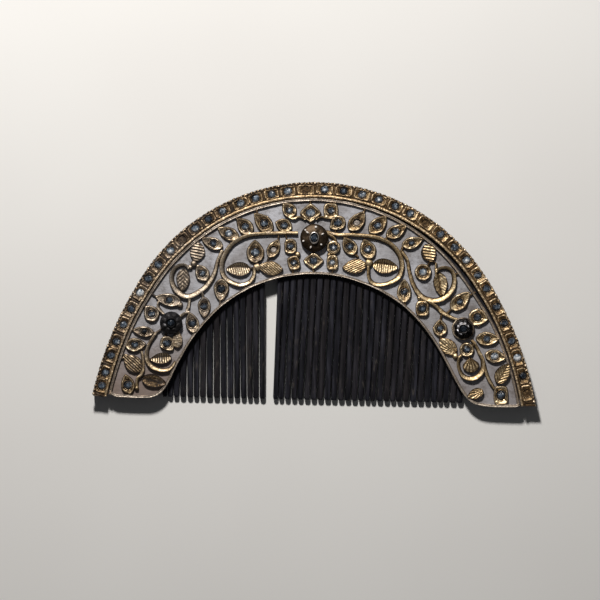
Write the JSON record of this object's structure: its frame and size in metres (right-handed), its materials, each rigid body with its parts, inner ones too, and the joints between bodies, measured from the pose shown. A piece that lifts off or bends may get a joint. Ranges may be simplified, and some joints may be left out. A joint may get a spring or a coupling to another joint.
{
  "type": "hair comb",
  "caption": "Half-moon hair comb of dark horn with sawn teeth, its spine covered by a silver sheet, a gilt pierced leaf panel and a stone-set border.",
  "frame": {"origin": "centre of the bounding box in plan, on the plane of the flat back", "axes": "+X along the comb's width, +Y from the teeth's tips towards the crown of the half moon, +Z out of the ornamented face"},
  "size_m": [0.1199, 0.0612, 0.0072],
  "materials": {
    "horn": "dark polished horn, worn, with paler streaks",
    "silver_sheet": "matt lilac-grey silver, tarnished in the corners",
    "gilt_panel": "worn gilding, bright on the ridges and brown in the hollows",
    "gilt_border": "worn reddish gilding with grime round the settings",
    "stones": "rose-cut, slate blue over dark foil",
    "dark_bronze": "dark brown dome with bright dots and collar",
    "black_silver": "blackened silver, bright only on the ridges"
  },
  "bodies": {
    "root": {"horn_comb": "horn", "silver_ground": "silver_sheet", "panel": "gilt_panel", "border_band": "gilt_border", "panel_stones": "stones", "border_stones": "stones", "rosette_centre": "dark_bronze", "rosette_left": "black_silver", "rosette_right": "black_silver", "rosette_stones": "stones"}
  },
  "joints": []
}
